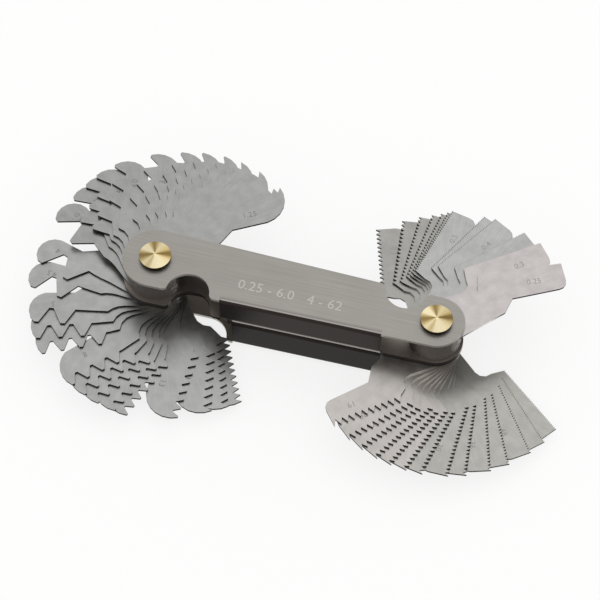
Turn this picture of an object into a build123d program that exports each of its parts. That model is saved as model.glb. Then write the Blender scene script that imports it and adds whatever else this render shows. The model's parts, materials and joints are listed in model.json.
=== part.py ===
from build123d import *
import os
from math import atan2, cos, degrees, floor, radians, sin, sqrt, tan

# Thread pitch gauge with 52 leaves in a two-storey sheet steel case.
# Millimetres. The origin is the foot of the left rivet, +Z is up, and +X runs along the case to the
# right rivet. The walls of the case are at the front, on the -Y side.

# Case
rivet_spacing = 55.0        # between the two rivet axes
left_lobe_radius = 6.4      # round end at the coarse leaves
right_lobe_radius = 5.4     # round end at the fine leaves
sheet = 0.6                 # case sheet
bend_inside = 0.5           # inside radius of the bend from flange to wall
upper_wall_start = 14.4     # front wall of the upper channel, from the left rivet axis
lower_wall_start = 16.6
wall_end_gap = 9.3          # from the end of both walls to the right rivet axis
# Finger cut-outs in the front edge, beside the left lobe: widening makes one longer along the edge
upper_cut = dict(radius=4.15, from_rivet=8.1, widening=0)
lower_cut = dict(radius=4.15, from_rivet=8.1, widening=3.0)
back_cut_radius = 4.0       # finger cut-out in the back edge, beside the right lobe
back_cut_from_rivet = 7.0
cut_centre_inset = 0.3      # cut-out centres lie this far inside the flange edge
cut_corner_radius = 1.0     # rounding where a cut-out meets the edge

# Rivets
shank_radius = 1.6
head_radius = 3.05
head_height = 1.4
head_flank = 0.95           # height of the upright side of a top head
head_flat_radius = 0.35     # small flat at the middle of a top head
foot_height = 1.2           # the lower heads are flat and the gauge rests on them
foot_bevel = 0.25
case_hole_clearance = 0.02  # on the radius, between rivet and case
leaf_hole_clearance = 0.04  # on the radius, between rivet and the flats of a leaf's hole

# Leaves
leaf_sheet = 0.45
leaf_gap = 0.02

# Straight runs that stand for the leaves' arcs, few enough to keep the mesh of all leaves small
hub_facets = 12
end_facets = 6
corner_facets = 3
waist_facets = 3
hole_sides = 12

# Leaf blanks. A blank is drawn with its tooth row along +U and the toothed side towards +V, from the
# rivet axis. closed_turn is the slant of the tooth row in the closed case. The coarser the teeth, the
# shorter the row and the lower its crests: *_trim values are these, per pitch. The round end of a coarse
# leaf lies end_lead beyond the last tooth, and end_lead_gain more per pitch.
coarse_blank = dict(
    hub_radius=5.6, closed_turn=22.0,
    waist_start=5.8, waist_side=6.0, hook_reach=8.8, hook_side=8.7,
    row_start=11.0, row_side=12.0, row_side_trim=0.22, row_reach=27.9, row_trim=1.12,
    end_lead=-0.6, end_lead_gain=0.46, end_side=7.4, shoulder=22.6, shoulder_side=4.3,
    back_start=15.6, back_side=3.8, step_reach=13.0, step_side=1.5)
fine_blank = dict(
    hub_radius=5.0, closed_turn=25.5,
    waist_start=7.2, waist_side=4.7, hook_reach=9.2, hook_side=7.0,
    row_start=9.7, row_side=9.7, row_side_trim=0.22, row_reach=26.2, row_trim=1.12,
    corner_lead=0.2, corner_side=4.1, corner_radius=1.7,
    back_start=15.2, back_side=3.2, step_reach=13.2, step_side=0.3)

hook_before_row = 0.25      # the hook's tip keeps this far from the row's first root, along the row
hook_below_row = 0.15       # and this far under it
row_margin = 0.25           # of a pitch, free between row_start and the first tooth
shoulder_before_end = 2.6   # the round end of a coarse leaf starts at least this far before its tip

# Thread forms: angle between the two sides of a tooth, and tooth depth over pitch. What a pitch has
# left beside the slanted sides is shared by the flats of crest and root.
metric_form = dict(angle=60.0, depth_ratio=0.62)
inch_form = dict(angle=55.0, depth_ratio=0.64)
flat_from_pitch = 1.9       # finer teeth are plain sharp V of the same angle
inch = 25.4

# The four fans, each from its top leaf down. turns are the leaves' swings from closed, in degrees.
fans = [
    dict(name="metric", storey=0, side="left", form=metric_form,
         pitches=[1.25, 1.5, 1.75, 2.0, 2.5, 3.0, 3.5, 4.0, 4.5, 5.0, 5.5, 6.0],
         turns=[48.4, 59.9, 68.7, 76.1, 85.0, 93.6, 106.1, 122.0, 131.0, 137.0, 144.8, 158.0]),
    dict(name="metric", storey=0, side="right", form=metric_form,
         pitches=[0.25, 0.3, 0.35, 0.4, 0.45, 0.5, 0.6, 0.7, 0.75, 0.8, 0.9, 1.0],
         turns=[130.8, 117.9, 109.7, 96.3, 91.7, 78.4, 76.6, 74.1, 70.4, 65.2, 58.1, 46.6]),
    dict(name="inch", storey=1, side="left", form=inch_form,
         pitches=[4, 4.5, 5, 6, 7, 8, 9, 10, 11, 12, 13, 14, 16, 18],
         turns=[180.0, 194.0, 212.4, 220.5, 228.0, 247.5, 254.0, 260.3, 267.5, 272.4, 292.0,
                305.4, 312.4, 317.9]),
    dict(name="inch", storey=1, side="right", form=inch_form,
         pitches=[19, 20, 22, 24, 25, 26, 28, 30, 32, 36, 40, 48, 60, 62],
         turns=[296.6, 288.3, 281.8, 275.1, 269.1, 262.8, 256.4, 246.2, 238.8, 228.6, 220.4,
                209.8, 202.1, 194.0]),
]

# Heights
leaf_step = leaf_sheet + leaf_gap
storey_room = [max(len(f["pitches"]) for f in fans if f["storey"] == s) * leaf_step + leaf_gap
               for s in (0, 1)]
lower_base = foot_height
lower_height = storey_room[1] + 2 * sheet
upper_base = lower_base + lower_height
upper_height = storey_room[0] + 2 * sheet
case_top = upper_base + upper_height
storey_ceiling = [case_top - sheet, upper_base - sheet]

# The case tapers from one lobe to the other. Both long edges are tangents of the two lobes.
edge_slope = (left_lobe_radius - right_lobe_radius) / rivet_spacing
edge_angle = degrees(atan2(edge_slope, sqrt(1 - edge_slope ** 2)))


def edge_distance(x):
    """Distance of a long edge from the case axis at x."""
    return left_lobe_radius / cos(radians(edge_angle)) - x * tan(radians(edge_angle))


def flange_outline(front_cut):
    """Plan of a flange: two lobes, tangent edges and the two finger cut-outs."""
    front_radius = front_cut["radius"]
    front_widening = front_cut["widening"]
    lobe_turn = 90 - edge_angle
    left_point = Vector(left_lobe_radius, 0).rotate(Axis.Z, lobe_turn)
    right_point = Vector(right_lobe_radius, 0).rotate(Axis.Z, lobe_turn) + Vector(rivet_spacing, 0)
    with BuildSketch() as sketch:
        with BuildLine():
            Polyline(left_point, right_point)
            ThreePointArc(right_point, (rivet_spacing + right_lobe_radius, 0),
                          (right_point.X, -right_point.Y))
            Line((right_point.X, -right_point.Y), (left_point.X, -left_point.Y))
            ThreePointArc((left_point.X, -left_point.Y), (-left_lobe_radius, 0), left_point)
        make_face()
        front_x = front_cut["from_rivet"]
        front_y = -edge_distance(front_x) + cut_centre_inset
        back_x = rivet_spacing - back_cut_from_rivet
        back_y = edge_distance(back_x) - cut_centre_inset
        with Locations((front_x, front_y), (front_x + front_widening, front_y)):
            Circle(front_radius, mode=Mode.SUBTRACT)
        if front_widening > 0:
            with Locations((front_x + front_widening / 2, front_y)):
                Rectangle(front_widening, 2 * front_radius, mode=Mode.SUBTRACT)
        with Locations((back_x, back_y)):
            Circle(back_cut_radius, mode=Mode.SUBTRACT)
        front_half = sqrt(front_radius ** 2 - cut_centre_inset ** 2)
        back_half = sqrt(back_cut_radius ** 2 - cut_centre_inset ** 2)
        corners = [(front_x - front_half, -1), (front_x + front_widening + front_half, -1),
                   (back_x - back_half, 1), (back_x + back_half, 1)]
        meets = [sketch.vertices().sort_by_distance((x, side * edge_distance(x), 0))[0]
                 for x, side in corners]
        fillet(meets, cut_corner_radius)
    return sketch.sketch


def channel(base, height, wall_start, front_cut):
    """A folded sheet: two flanges joined by a front wall, with round bends."""
    wall_end = rivet_spacing - wall_end_gap
    bend_outside = bend_inside + sheet
    plan = flange_outline(front_cut)
    flanges = extrude(Pos(0, 0, base) * plan, sheet)
    flanges += extrude(Pos(0, 0, base + height - sheet) * plan, sheet)
    outer = Pos(bend_outside, height / 2) * Rectangle(2 * bend_outside, height)
    outer = fillet(outer.vertices().group_by(Axis.X)[0], bend_outside)
    inner = Pos(sheet + bend_outside, height / 2) * Rectangle(2 * bend_outside, height - 2 * sheet)
    inner = fillet(inner.vertices().group_by(Axis.X)[0], bend_inside)
    length = (wall_end - wall_start) / cos(radians(edge_angle))
    fold = extrude(Plane.YZ * (outer - inner), length)
    start = Pos(wall_start, -edge_distance(wall_start), base) * Rot(0, 0, edge_angle)
    trim = start * Pos(length / 2, 0, height / 2) * Box(length, 2 * bend_outside, 2 * height)
    body = flanges - trim + start * fold
    hole = RegularPolygon(shank_radius + case_hole_clearance, hole_sides, major_radius=False)
    for x in (0, rivet_spacing):
        body -= extrude(Pos(x, 0, base - height / 2) * hole, 2 * height)
    return body


def rivet():
    """Brass rivet: flat foot, shank through the case and a turned head with a shallow cone."""
    with BuildSketch(Plane.XZ) as half:
        with BuildLine():
            Polyline((0, 0), (head_radius - foot_bevel, 0), (head_radius, foot_bevel),
                     (head_radius, foot_height), (shank_radius, foot_height),
                     (shank_radius, case_top), (head_radius, case_top),
                     (head_radius, case_top + head_flank), (head_flat_radius, case_top + head_height),
                     (0, case_top + head_height), (0, 0))
        make_face()
    return revolve(half.sketch, Axis.Z)


def last_tooth(blank, pitch):
    """Distance along the row of the middle of the tooth at the tip."""
    return blank["row_reach"] - blank["row_trim"] * pitch


def tooth_points(blank, form, pitch):
    """Corners of the tooth row, from the last tooth at the tip back to the root next to the hook."""
    slope = tan(radians(form["angle"] / 2))
    has_flats = pitch >= flat_from_pitch
    depth = form["depth_ratio"] * pitch if has_flats else pitch / 2 / slope
    flat = pitch / 4 - depth * slope / 2
    crest = blank["row_side"] - blank["row_side_trim"] * pitch
    root = crest - depth
    last = last_tooth(blank, pitch)
    count = floor((last - blank["row_start"]) / pitch - row_margin) + 1
    points = []
    for i in range(count):
        middle = last - pitch * i
        if has_flats:
            points += [(middle + flat, crest), (middle - flat, crest)]
            points += [(middle - pitch / 2 + flat, root), (middle - pitch / 2 - flat, root)]
        else:
            points += [(middle, crest), (middle - pitch / 2, root)]
    return points


def chords(arc, count):
    """Points along an arc, from its start to its end, that cut it into count straight runs."""
    return [tuple(arc @ (i / count))[:2] for i in range(count + 1)]


def corner_arc(before, corner, after, radius):
    """Arc of this radius that rounds a corner between two straight sides."""
    to_before = (Vector(*before) - Vector(*corner)).normalized()
    to_after = (Vector(*after) - Vector(*corner)).normalized()
    half_angle = radians(to_before.get_angle(to_after) / 2)
    middle = (to_before + to_after).normalized() * (radius / sin(half_angle) - radius)
    tangent_length = radius / tan(half_angle)
    return ThreePointArc(Vector(*corner) + to_before * tangent_length, Vector(*corner) + middle,
                         Vector(*corner) + to_after * tangent_length)


def leaf_blank(blank, form, pitch):
    """Plan of one leaf with its tooth row along +U, round the rivet axis at the origin."""
    teeth = tooth_points(blank, form, pitch)
    tip = teeth[0]
    heel = teeth[-1]
    hub = blank["hub_radius"]
    step = (blank["step_reach"], blank["step_side"])
    step_turn = degrees(atan2(step[1], step[0]))
    step_distance = sqrt(step[0] ** 2 + step[1] ** 2)
    back_turn = step_turn - degrees(atan2(sqrt(step_distance ** 2 - hub ** 2), hub))
    hub_back = (hub * cos(radians(back_turn)), hub * sin(radians(back_turn)))
    waist = (blank["waist_start"], blank["waist_side"])
    waist_turn = degrees(atan2(waist[1], waist[0]))
    waist_distance = sqrt(waist[0] ** 2 + waist[1] ** 2)
    front_turn = waist_turn + degrees(atan2(sqrt(waist_distance ** 2 - hub ** 2), hub))
    hub_front = (hub * cos(radians(front_turn)), hub * sin(radians(front_turn)))
    hub_middle = radians((front_turn + back_turn) / 2 + 180)
    hook = (min(blank["hook_reach"], heel[0] - hook_before_row),
            min(blank["hook_side"], heel[1] - hook_below_row))
    back = (blank["back_start"], blank["back_side"])
    hub_arc = ThreePointArc(hub_front, (hub * cos(hub_middle), hub * sin(hub_middle)), hub_back)
    waist_arc = TangentArc(waist, hook, tangent=(waist[0] - hub_front[0], waist[1] - hub_front[1]))
    outline = chords(hub_arc, hub_facets) + [step, back]
    if "corner_radius" in blank:
        corner = (tip[0] + blank["corner_lead"], blank["corner_side"])
        outline += chords(corner_arc(back, corner, tip, blank["corner_radius"]), corner_facets)
    else:
        end_lead = blank["end_lead"] + blank["end_lead_gain"] * pitch
        end = (last_tooth(blank, pitch) + end_lead, blank["end_side"])
        shoulder = (min(blank["shoulder"], end[0] - shoulder_before_end), blank["shoulder_side"])
        outline += chords(ThreePointArc(shoulder, end, tip), end_facets)[:-1]
    outline += teeth + chords(waist_arc, waist_facets)[::-1]
    with BuildSketch() as sketch:
        with BuildLine():
            Polyline(*outline, close=True)
        make_face()
        RegularPolygon(shank_radius + leaf_hole_clearance, hole_sides, major_radius=False,
                       mode=Mode.SUBTRACT)
    return sketch.sketch


def leaf(fan, index):
    """One leaf at its height in the stack and its place in the fan."""
    size = fan["pitches"][index]
    pitch = size if fan["form"] is metric_form else inch / size
    blank = coarse_blank if fan["side"] == "left" else fine_blank
    x = 0 if fan["side"] == "left" else rivet_spacing
    turn = fan["turns"][index] if fan["side"] == "left" else 180 - fan["turns"][index]
    z = storey_ceiling[fan["storey"]] - (index + 1) * leaf_step
    plan = leaf_blank(blank, fan["form"], pitch)
    return Pos(x, 0, z) * Rot(0, 0, turn - blank["closed_turn"]) * extrude(plan, leaf_sheet)


def save(name, shape):
    export_step(shape, os.path.join("parts", name + ".step"))


os.makedirs("parts", exist_ok=True)
save("upper_channel", channel(upper_base, upper_height, upper_wall_start, upper_cut))
save("lower_channel", channel(lower_base, lower_height, lower_wall_start, lower_cut))
save("left_rivet", rivet())
save("right_rivet", Pos(rivet_spacing, 0, 0) * rivet())
for fan in fans:
    for index, size in enumerate(fan["pitches"]):
        label = str(size).replace(".", "_")
        save(fan["name"] + "_leaf_" + label, leaf(fan, index))
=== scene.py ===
import json
import math

import bpy
from mathutils import Matrix, Vector


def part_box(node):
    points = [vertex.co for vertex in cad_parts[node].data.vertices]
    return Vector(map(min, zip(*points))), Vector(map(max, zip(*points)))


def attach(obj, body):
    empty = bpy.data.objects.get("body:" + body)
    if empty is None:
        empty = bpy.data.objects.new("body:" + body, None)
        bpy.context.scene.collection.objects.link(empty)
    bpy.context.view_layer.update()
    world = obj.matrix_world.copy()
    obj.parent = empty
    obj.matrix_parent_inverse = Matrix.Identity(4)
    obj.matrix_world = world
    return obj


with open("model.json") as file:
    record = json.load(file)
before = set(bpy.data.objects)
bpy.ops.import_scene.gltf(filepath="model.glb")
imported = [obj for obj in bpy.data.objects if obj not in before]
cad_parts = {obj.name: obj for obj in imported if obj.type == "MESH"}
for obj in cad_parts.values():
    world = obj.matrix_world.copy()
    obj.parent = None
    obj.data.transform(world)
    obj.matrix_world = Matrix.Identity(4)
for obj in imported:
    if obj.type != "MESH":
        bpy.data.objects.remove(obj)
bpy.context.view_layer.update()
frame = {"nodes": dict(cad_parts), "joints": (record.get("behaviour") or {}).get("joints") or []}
millimetre = 0.001
nodes = frame["nodes"]
rivetSpacing = (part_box("right_rivet")[0].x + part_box("right_rivet")[1].x) / 2
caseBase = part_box("lower_channel")[0].z
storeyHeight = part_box("upper_channel")[0].z
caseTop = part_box("upper_channel")[1].z
print("frame loaded,", len(nodes), "nodes")


def toLinear(hexText):
    channels = [int(hexText[i:i + 2], 16) / 255 for i in (1, 3, 5)]
    return [c / 12.92 if c <= 0.04045 else ((c + 0.055) / 1.055) ** 2.4 for c in channels] + [1.0]


def addNode(tree, kind, settings=None, stops=()):
    # a setting is an attribute's value, a socket's value or the output that feeds the socket, and
    # stops are the places and tones of a colour ramp
    node = tree.nodes.new(kind)
    for key, value in (settings or {}).items():
        if isinstance(key, str) and hasattr(node, key):
            setattr(node, key, value)
        elif isinstance(value, bpy.types.NodeSocket):
            tree.links.new(value, node.inputs[key])
        else:
            node.inputs[key].default_value = value
    if stops:
        ramp = node.color_ramp.elements
        for end, (position, hexText) in ((ramp[0], stops[0]), (ramp[1], stops[-1])):
            end.position, end.color = position, toLinear(hexText)
        for position, hexText in stops[1:-1]:
            ramp.new(position).color = toLinear(hexText)
    return node


def newMaterial(name):
    material = bpy.data.materials.new(name)
    material.use_nodes = True
    material.node_tree.nodes.clear()
    return material, material.node_tree


# Camera at the photograph's viewing angle, from a fit to the rivets, case edges and leaf tips.
# Degrees and millimetres
camera = {
    "turn": 15.02, "elevation": 57.77, "distance": 433.86, "aside": -1.001, "up": 2.04,
    "lens": 137.8, "target": (27.5, 0.0), "clipMetres": (0.01, 10),
}
turn, elevation = math.radians(camera["turn"]), math.radians(camera["elevation"])
right = Vector((math.cos(turn), math.sin(turn), 0))
forward = Vector((-math.sin(turn) * math.cos(elevation), math.cos(turn) * math.cos(elevation),
                  -math.sin(elevation)))
upward = right.cross(forward)
target = Vector((camera["target"][0] * millimetre, camera["target"][1] * millimetre, caseTop))
place = target - (camera["aside"] * right + camera["up"] * upward
                  + camera["distance"] * forward) * millimetre
cameraObject = bpy.data.objects.new("camera", bpy.data.cameras.new("camera"))
cameraObject.data.lens = camera["lens"]
cameraObject.data.clip_start, cameraObject.data.clip_end = camera["clipMetres"]
axes = Matrix((right, upward, -forward)).transposed().to_4x4()
cameraObject.matrix_world = Matrix.Translation(place) @ axes
bpy.context.scene.collection.objects.link(cameraObject)
bpy.context.scene.camera = cameraObject
print("camera placed")

# Studio: white light from every side, one soft lamp over the back, and a floor of matt white paper.
# Metres and watts. floorShade is how much of the paper's own shading the camera sees, and the rest
# is plain white
studio = {
    "worldStrength": 1.0, "lampPower": 0.25, "lampSize": 0.35, "lampPlace": (0.0, 0.33, 0.55),
    "floorSize": 4.0, "floorColour": "#F4F4F2", "floorShade": 0.2,
}


def seenRays(tree):
    # 1 for what is looked at, directly, in a reflection or through glass, and 0 for what only lights
    path = addNode(tree, "ShaderNodeLightPath")
    seen = addNode(tree, "ShaderNodeMath", {"operation": "MAXIMUM", 0: path.outputs["Is Camera Ray"],
                                            1: path.outputs["Is Glossy Ray"]})
    seen = addNode(tree, "ShaderNodeMath", {"operation": "MAXIMUM", 0: seen.outputs[0],
                                            1: path.outputs["Is Transmission Ray"]})
    return seen.outputs[0]


world = bpy.data.worlds.new("softWhite")
world.use_nodes = True
bpy.context.scene.world = world
tree = world.node_tree
tree.nodes.clear()
light = addNode(tree, "ShaderNodeBackground", {"Color": (1, 1, 1, 1),
                                               "Strength": studio["worldStrength"]})
background = addNode(tree, "ShaderNodeBackground", {"Color": (1, 1, 1, 1), "Strength": 1.0})
mixed = addNode(tree, "ShaderNodeMixShader",
                {0: seenRays(tree), 1: light.outputs[0], 2: background.outputs[0]})
addNode(tree, "ShaderNodeOutputWorld", {"Surface": mixed.outputs[0]})

lamp = bpy.data.objects.new("softbox", bpy.data.lights.new("softbox", "AREA"))
lamp.data.energy, lamp.data.size = studio["lampPower"], studio["lampSize"]
lamp.location = studio["lampPlace"]
lamp.rotation_euler = (target - lamp.location).to_track_quat("-Z", "Y").to_euler()
bpy.context.scene.collection.objects.link(lamp)

half = studio["floorSize"] / 2
floorMesh = bpy.data.meshes.new("floor")
floorMesh.from_pydata([(-half, -half, 0), (half, -half, 0), (half, half, 0), (-half, half, 0)], [],
                      [(0, 1, 2, 3)])
floor = bpy.data.objects.new("floor", floorMesh)
bpy.context.scene.collection.objects.link(floor)
paper, tree = newMaterial("whitePaper")
matt = addNode(tree, "ShaderNodeBsdfDiffuse", {"Color": toLinear(studio["floorColour"])})
bright = addNode(tree, "ShaderNodeEmission", {"Strength": 1.0})
shown = addNode(tree, "ShaderNodeMixShader",
                {0: studio["floorShade"], 1: bright.outputs[0], 2: matt.outputs[0]})
mixed = addNode(tree, "ShaderNodeMixShader",
                {0: seenRays(tree), 1: matt.outputs[0], 2: shown.outputs[0]})
addNode(tree, "ShaderNodeOutputMaterial", {"Surface": mixed.outputs[0]})
floorMesh.materials.append(paper)
bpy.context.scene.view_settings.view_transform = "Standard"
print("studio lit")


def roundRivet(tree, pivotX):
    # the coordinates, and from the rivet's axis the level vector and its length
    coordinate = addNode(tree, "ShaderNodeTexCoord")
    moved = addNode(tree, "ShaderNodeVectorMath",
                    {"operation": "SUBTRACT", 0: coordinate.outputs["Object"], 1: (pivotX, 0, 0)})
    away = addNode(tree, "ShaderNodeVectorMath", {"operation": "MULTIPLY", 0: moved.outputs[0],
                                                  1: (1, 1, 0)})
    length = addNode(tree, "ShaderNodeVectorMath", {"operation": "LENGTH", 0: away.outputs[0]})
    return coordinate, away.outputs[0], length.outputs["Value"]


def howLevel(tree, coordinate, flatFrom):
    # 0 on upright faces to 1 on level ones, and a mask of the level faces with a soft border
    normal = addNode(tree, "ShaderNodeSeparateXYZ", {0: coordinate.outputs["Normal"]})
    level = addNode(tree, "ShaderNodeMath", {"operation": "ABSOLUTE", 0: normal.outputs["Z"]})
    flat = addNode(tree, "ShaderNodeMapRange", {"Value": level.outputs[0], "From Min": flatFrom[0],
                                                "From Max": flatFrom[1]})
    return level.outputs[0], flat.outputs[0]


def bareMetal(tree, metal, colour, height, settings):
    # metal of this colour, with a fine relief that follows height, as deep as the metal's dictionary
    # says, and settings for what differs
    bump = addNode(tree, "ShaderNodeBump", {"Strength": metal["relief"], "Height": height,
                                            "Distance": metal["reliefMm"] * millimetre})
    shader = addNode(tree, "ShaderNodeBsdfPrincipled", {"Metallic": 1.0, "Base Color": colour,
                                                        "Normal": bump.outputs[0], **settings})
    addNode(tree, "ShaderNodeOutputMaterial", {"Surface": shader.outputs[0]})


# Leaves: hardened spring steel strip, ground on both faces and tumbled. A mottled satin grey with
# only faint marks along the leaf, drawn wider apart than real grinding marks so that they show.
# Punched edges are painted: near black as painted shade, grey round the rivet, and on the fine
# leaves a bright painted highlight along the waists. Each batch of leaves has a tone of its own.
leafSteel = {
    "tones": {"metricLeft": "#91918F", "inchLeft": "#9B9B99", "metricRight": "#ABA6A5",
              "metricRightMiddle": "#9C9C9A", "metricRightCoarse": "#8F8E8A",
              "inchRight": "#A9A5A1", "inchRightFine": "#9E9C97"},
    "middleFrom": 0.35, "coarseFrom": 0.6,      # millimetres of pitch, where the metric batch changes
    "fineFrom": 28,                             # teeth to the inch, where the inch batch changes
    # tones of the punched edges: painted shade near black, grey round the rivet, painted highlight on
    # fine waists
    "edge": "#0D0C0B", "hubEdge": "#7A7570", "waistEdge": "#E6E2DC",
    "edgeStopsMm": (5.4, 7.2, 10.2, 12.4),      # from the rivet to hub's end, waist's ends and teeth
    "markAlongMm": 9.0, "markAcrossMm": 0.25, "markRadiusMm": 18.0, "markDetail": 3.0,
    "markRange": (0.35, 0.65), "markShade": (0.96, 1.03),
    "mottleMm": 2.2, "mottleDetail": 5.0, "mottleRange": (0.3, 0.7), "mottleShade": (0.88, 1.09),
    "roughness": (0.30, 0.40), "flatFrom": (0.2, 0.8), "relief": 0.2, "reliefMm": 0.001,
}


def springSteel(name, hexText, pivotX, waistEdge):
    material, tree = newMaterial(name)
    coordinate, away, length = roundRivet(tree, pivotX)
    # The marks run out from the rivet, markAcrossMm apart at markRadiusMm from it
    parts = addNode(tree, "ShaderNodeSeparateXYZ", {0: away})
    angle = addNode(tree, "ShaderNodeMath", {"operation": "ARCTAN2", 0: parts.outputs["Y"],
                                             1: parts.outputs["X"]})
    across = addNode(tree, "ShaderNodeMath",
                     {"operation": "MULTIPLY", 0: angle.outputs[0],
                      1: leafSteel["markRadiusMm"] / leafSteel["markAcrossMm"]})
    along = addNode(tree, "ShaderNodeMath", {"operation": "MULTIPLY", 0: length,
                                             1: 1 / (leafSteel["markAlongMm"] * millimetre)})
    marksAt = addNode(tree, "ShaderNodeCombineXYZ", {0: across.outputs[0], 1: along.outputs[0]})
    marks = addNode(tree, "ShaderNodeTexNoise", {"Vector": marksAt.outputs[0], "Scale": 1.0,
                                                 "Detail": leafSteel["markDetail"]})
    mottle = addNode(tree, "ShaderNodeTexNoise",
                     {"Vector": coordinate.outputs["Object"], "Detail": leafSteel["mottleDetail"],
                      "Scale": 1 / (leafSteel["mottleMm"] * millimetre)})
    face = toLinear(hexText)[:3]
    for noise, fromRange, toShade in ((marks, leafSteel["markRange"], leafSteel["markShade"]),
                                      (mottle, leafSteel["mottleRange"], leafSteel["mottleShade"])):
        shade = addNode(tree, "ShaderNodeMapRange",
                        {"Value": noise.outputs["Fac"], "From Min": fromRange[0],
                         "From Max": fromRange[1], "To Min": toShade[0], "To Max": toShade[1]})
        shaded = addNode(tree, "ShaderNodeVectorMath", {"operation": "SCALE", 0: face,
                                                        "Scale": shade.outputs[0]})
        face = shaded.outputs[0]
    # upright faces get painted light: grey at the hub, the waist tone, then near black painted shade
    paintedEdgeTones = (leafSteel["hubEdge"], waistEdge, waistEdge, leafSteel["edge"])
    teethMm = leafSteel["edgeStopsMm"][-1]
    reach = addNode(tree, "ShaderNodeMath", {"operation": "DIVIDE", 0: length,
                                             1: teethMm * millimetre})
    edge = addNode(tree, "ShaderNodeValToRGB", {0: reach.outputs[0]},
                   [(stop / teethMm, tone) for stop, tone in zip(leafSteel["edgeStopsMm"], paintedEdgeTones)])
    _, flat = howLevel(tree, coordinate, leafSteel["flatFrom"])
    colour = addNode(tree, "ShaderNodeMix", {"data_type": "RGBA", 0: flat, 6: edge.outputs["Color"],
                                             7: face})
    rough = addNode(tree, "ShaderNodeMapRange",
                    {"Value": mottle.outputs["Fac"], "To Min": leafSteel["roughness"][0],
                     "To Max": leafSteel["roughness"][1]})
    bareMetal(tree, leafSteel, colour.outputs[2], marks.outputs["Fac"],
              {"Roughness": rough.outputs[0]})
    return material


# Case: cold rolled sheet steel, punched and folded. The outer flats are ground along the case, with
# marks drawn wider apart than real ones so that they show. The walls that face the front are painted
# a dark brown-grey as a painted reflection, darker on the lower channel as painted shade. The inside
# and the flats between the storeys are a little worn by the leaves, the folds get a pale painted
# highlight and the punched edges of the outer flats a bright painted highlight.
caseSheet = {
    # the dark wall tones are painted reflection and shade, the pale fold and bright edge tones painted
    # highlights
    "ground": ((0.35, "#8B8883"), (0.65, "#938F8A")), "inside": "#8E8780", "fold": "#A5A19C",
    "cut": "#B8B5AF", "upperSkin": ("#2C2725", "#393330"), "lowerSkin": ("#221E1C", "#2C2826"),
    "markAlongMm": 14.0, "markAcrossMm": 0.22, "markDetail": 3.0, "cloudMm": 6.0, "cloudDetail": 5.0,
    "roughness": (0.36, 0.48), "relief": 0.2, "reliefMm": 0.001, "sheetMm": 0.6, "nearMm": 0.3,
    "wallFacing": -0.3,                         # faces turned further to the front get the painted dark wall tones
    # How level the faces of the flats, the folds and the punched edges are, from 0 to 1
    "flatFrom": (0.86, 0.94), "foldLevel": 0.82, "foldWidth": 0.08, "uprightBelow": 0.3,
}


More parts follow.
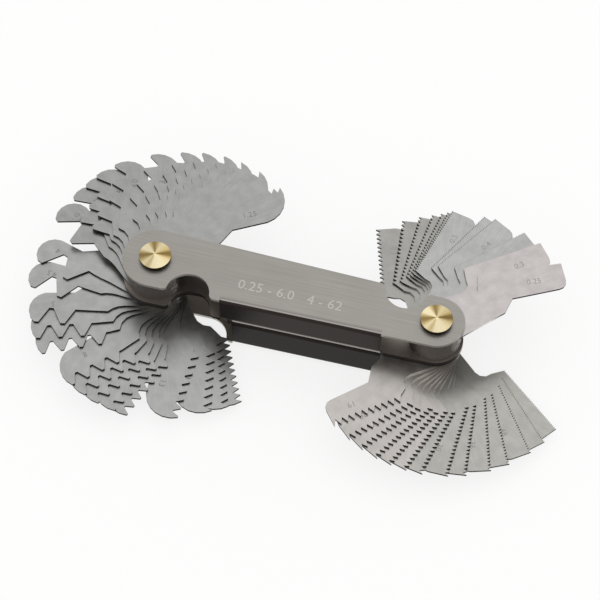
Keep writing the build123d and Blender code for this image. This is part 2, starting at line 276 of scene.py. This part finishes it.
def rolledSheet(name, wallShadeTones):
    material, tree = newMaterial(name)
    coordinate = addNode(tree, "ShaderNodeTexCoord")
    along, across = (1 / (caseSheet[size] * millimetre) for size in ("markAlongMm", "markAcrossMm"))
    stretch = addNode(tree, "ShaderNodeMapping", {"Vector": coordinate.outputs["Object"],
                                                  "Scale": (along, across, across)})
    marks = addNode(tree, "ShaderNodeTexNoise", {"Vector": stretch.outputs[0], "Scale": 1.0,
                                                 "Detail": caseSheet["markDetail"]})
    cloud = addNode(tree, "ShaderNodeTexNoise",
                    {"Vector": coordinate.outputs["Object"], "Detail": caseSheet["cloudDetail"],
                     "Scale": 1 / (caseSheet["cloudMm"] * millimetre)})
    ground = addNode(tree, "ShaderNodeValToRGB", {0: marks.outputs["Fac"]}, caseSheet["ground"])
    # the painted dark of the front walls, clouded
    wallShade = addNode(tree, "ShaderNodeMix", {"data_type": "RGBA", 0: cloud.outputs["Fac"],
                                           6: toLinear(wallShadeTones[0]), 7: toLinear(wallShadeTones[1])})
    normal = addNode(tree, "ShaderNodeSeparateXYZ", {0: coordinate.outputs["Normal"]})
    # faces turned to the front get the painted dark, the rest the inside tone
    shadedFront = addNode(tree, "ShaderNodeMath", {"operation": "LESS_THAN", 0: normal.outputs["Y"],
                                               1: caseSheet["wallFacing"]})
    colour = addNode(tree, "ShaderNodeMix",
                     {"data_type": "RGBA", 0: shadedFront.outputs[0], 6: toLinear(caseSheet["inside"]),
                      7: wallShade.outputs[2]})
    level, flat = howLevel(tree, coordinate, caseSheet["flatFrom"])
    # a band of slopes round the folds that gets a pale painted highlight
    fold = addNode(tree, "ShaderNodeMath", {"operation": "COMPARE", 0: level,
                                            1: caseSheet["foldLevel"], 2: caseSheet["foldWidth"]})
    # upright faces next to the outer flats, which get a bright painted highlight
    upright = addNode(tree, "ShaderNodeMath", {"operation": "COMPARE", 0: level, 1: 0.0,
                                               2: caseSheet["uprightBelow"]})
    places = addNode(tree, "ShaderNodeSeparateXYZ", {0: coordinate.outputs["Object"]})
    outer, everyFold = (caseBase, caseTop), (caseBase, storeyHeight, caseTop)
    nearMm, sheetMm = caseSheet["nearMm"], caseSheet["sheetMm"]
    # Each paint goes on the faces of its slope that lie within reachMm of one of its heights
    for slope, heights, reachMm, paint in (
            (flat, outer, nearMm, ground.outputs["Color"]),
            (flat, (storeyHeight,), nearMm, toLinear(caseSheet["inside"])),
            # painted highlights: pale on the folds, bright on the punched edges of the outer flats
            (fold.outputs[0], everyFold, nearMm, toLinear(caseSheet["fold"])),
            (upright.outputs[0], outer, sheetMm, toLinear(caseSheet["cut"]))):
        for height in heights:
            near = addNode(tree, "ShaderNodeMath", {"operation": "COMPARE", 0: places.outputs["Z"],
                                                    1: height, 2: reachMm * millimetre})
            amount = addNode(tree, "ShaderNodeMath", {"operation": "MULTIPLY", 0: slope,
                                                      1: near.outputs[0]})
            colour = addNode(tree, "ShaderNodeMix", {"data_type": "RGBA", 0: amount.outputs[0],
                                                     6: colour.outputs[2], 7: paint})
    rough = addNode(tree, "ShaderNodeMapRange",
                    {"Value": cloud.outputs["Fac"], "To Min": caseSheet["roughness"][0],
                     "To Max": caseSheet["roughness"][1]})
    bareMetal(tree, caseSheet, colour.outputs[2], marks.outputs["Fac"],
              {"Roughness": rough.outputs[0]})
    return material


# Rivets: turned brass, with tool rings round the cone. The pale and dark sectors round the cone are
# painted highlights and painted shade, with uneven borders. The upright sides of the heads are
# painted dark as shade. The rings are drawn wider apart than real ones so that they show. The noise
# for the sectors is read on a circle of radius 1, and a larger sectorScale gives more of them.
rivetBrass = {
    "sectorTones": ((0.38, "#735F38"), (0.48, "#B39F6F"), (0.6, "#DDD0AC")), "flank": "#2C2010",
    "sectorScale": 0.8, "sectorDetail": 0.6, "ringMm": 0.14, "roughness": 0.26,
    "anisotropic": 0.5, "flatFrom": (0.2, 0.8), "relief": 0.4, "reliefMm": 0.002,
}


def turnedBrass(name, pivotX):
    material, tree = newMaterial(name)
    coordinate, away, length = roundRivet(tree, pivotX)
    rings = addNode(tree, "ShaderNodeMath",
                    {"operation": "MULTIPLY", 0: length,
                     1: 2 * math.pi / (rivetBrass["ringMm"] * millimetre)})
    wave = addNode(tree, "ShaderNodeMath", {"operation": "SINE", 0: rings.outputs[0]})
    heading = addNode(tree, "ShaderNodeVectorMath", {"operation": "NORMALIZE", 0: away})
    sectors = addNode(tree, "ShaderNodeTexNoise",
                      {"Vector": heading.outputs[0], "Scale": rivetBrass["sectorScale"],
                       "Detail": rivetBrass["sectorDetail"]})
    # painted highlights and painted shade in sectors round the axis
    turned = addNode(tree, "ShaderNodeValToRGB", {0: sectors.outputs["Fac"]},
                     rivetBrass["sectorTones"])
    _, flat = howLevel(tree, coordinate, rivetBrass["flatFrom"])
    # the upright sides of the heads get the painted shade
    colour = addNode(tree, "ShaderNodeMix",
                     {"data_type": "RGBA", 0: flat, 6: toLinear(rivetBrass["flank"]),
                      7: turned.outputs["Color"]})
    tangent = addNode(tree, "ShaderNodeTangent", {"direction_type": "RADIAL", "axis": "Z"})
    bareMetal(tree, rivetBrass, colour.outputs[2], wave.outputs[0],
              {"Roughness": rivetBrass["roughness"], "Anisotropic": rivetBrass["anisotropic"],
               "Tangent": tangent.outputs[0]})
    return material


steels = {}
for batch, hexText in leafSteel["tones"].items():
    onLeft = batch.endswith("Left")
    # waists get the painted highlight on the right leaves and the painted shade on the left ones
    steels[batch] = springSteel("groundSpringSteel" + batch[0].upper() + batch[1:], hexText,
                                0.0 if onLeft else rivetSpacing,
                                leafSteel["edge"] if onLeft else leafSteel["waistEdge"])
finishes = {"upper_channel": rolledSheet("rolledSheetSteelUpper", caseSheet["upperSkin"]),
            "lower_channel": rolledSheet("rolledSheetSteelLower", caseSheet["lowerSkin"]),
            "left_rivet": turnedBrass("turnedBrassLeft", 0.0),
            "right_rivet": turnedBrass("turnedBrassRight", rivetSpacing)}
for joint in frame["joints"]:
    system, pitch = joint["child"].split("_leaf_")
    pitch = float(pitch.replace("_", "."))
    batch = system + ("Left" if joint["axis"][2] > 0 else "Right")
    if batch == "metricRight" and pitch >= leafSteel["middleFrom"]:
        batch += "Coarse" if pitch >= leafSteel["coarseFrom"] else "Middle"
    elif batch == "inchRight" and pitch >= leafSteel["fineFrom"]:
        batch += "Fine"
    finishes[joint["child"]] = steels[batch]
for name, material in finishes.items():
    nodes[name].data.materials.clear()
    nodes[name].data.materials.append(material)
print("metals on", len(finishes), "nodes")

# Numbers: a pitch on each leaf, etched a faint grey, and the ranges on the case, engraved pale. They
# are thin letters just clear of the metal. closedSlant is a closed leaf's slant in degrees, and
# placeMm is measured from its rivet, along and across the leaf
numbers = {
    "left": {"colour": "#83827F", "closedSlant": 22.0, "placeMm": (19.5, 6.6)},
    "right": {"colour": "#9B9795", "closedSlant": 25.5, "placeMm": (20.0, 6.3)},
    "leafHeightMm": 1.7, "leafRoughness": 0.5,
    "caseText": "0.25 - 6.0   4 - 62", "casePlaceMm": (27.0, -1.6), "caseHeightMm": 2.9,
    "caseColour": "#B3B0AB", "caseRoughness": 0.4,
    "metallic": 0.6, "roughnessSpread": 0.2, "gritMm": 0.4, "gritDetail": 2.0,
    "thickMm": 0.003, "aboveMm": 0.006, "curveSteps": 2,
}


def etched(name, hexText, roughness):
    material, tree = newMaterial(name)
    coordinate = addNode(tree, "ShaderNodeTexCoord")
    grit = addNode(tree, "ShaderNodeTexNoise",
                   {"Vector": coordinate.outputs["Object"], "Detail": numbers["gritDetail"],
                    "Scale": 1 / (numbers["gritMm"] * millimetre)})
    rough = addNode(tree, "ShaderNodeMapRange",
                    {"Value": grit.outputs["Fac"], "To Min": roughness,
                     "To Max": roughness + numbers["roughnessSpread"]})
    shader = addNode(tree, "ShaderNodeBsdfPrincipled",
                     {"Metallic": numbers["metallic"], "Base Color": toLinear(hexText),
                      "Roughness": rough.outputs[0]})
    addNode(tree, "ShaderNodeOutputMaterial", {"Surface": shader.outputs[0]})
    return material


def addText(name, words, heightMm, material, position, turn, body):
    curve = bpy.data.curves.new(name, "FONT")
    curve.body = words
    curve.size = heightMm * millimetre
    curve.extrude = numbers["thickMm"] * millimetre
    curve.align_x, curve.align_y = "CENTER", "CENTER"
    curve.resolution_u = numbers["curveSteps"]
    curve.materials.append(material)
    piece = bpy.data.objects.new(name, curve)
    bpy.context.scene.collection.objects.link(piece)
    piece.location = position
    piece.rotation_euler = (0, 0, turn)
    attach(piece, body)


etches = {"left": etched("faintEtchLeft", numbers["left"]["colour"], numbers["leafRoughness"]),
          "right": etched("faintEtchRight", numbers["right"]["colour"], numbers["leafRoughness"])}
paleEngraving = etched("paleEngraving", numbers["caseColour"], numbers["caseRoughness"])
above = numbers["aboveMm"] * millimetre
for joint in frame["joints"]:
    leaf = joint["child"]
    onLeft = joint["axis"][2] > 0
    side = "left" if onLeft else "right"
    swing = -joint["range_deg"][0]
    slant = math.radians((swing if onLeft else 180 - swing) - numbers[side]["closedSlant"])
    spot = Vector((*numbers[side]["placeMm"], 0)) * millimetre
    spot = Matrix.Rotation(slant, 3, "Z") @ spot
    words = leaf.split("_leaf_")[1].replace("_", ".")
    addText("number_" + leaf, words, numbers["leafHeightMm"], etches[side],
            (joint["pos_m"][0] + spot.x, spot.y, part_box(leaf)[1].z + above), slant, leaf)
caseX, caseY = (size * millimetre for size in numbers["casePlaceMm"])
addText("case_numbers", numbers["caseText"], numbers["caseHeightMm"], paleEngraving,
        (caseX, caseY, caseTop + above), 0.0, "case")
print("numbers placed")
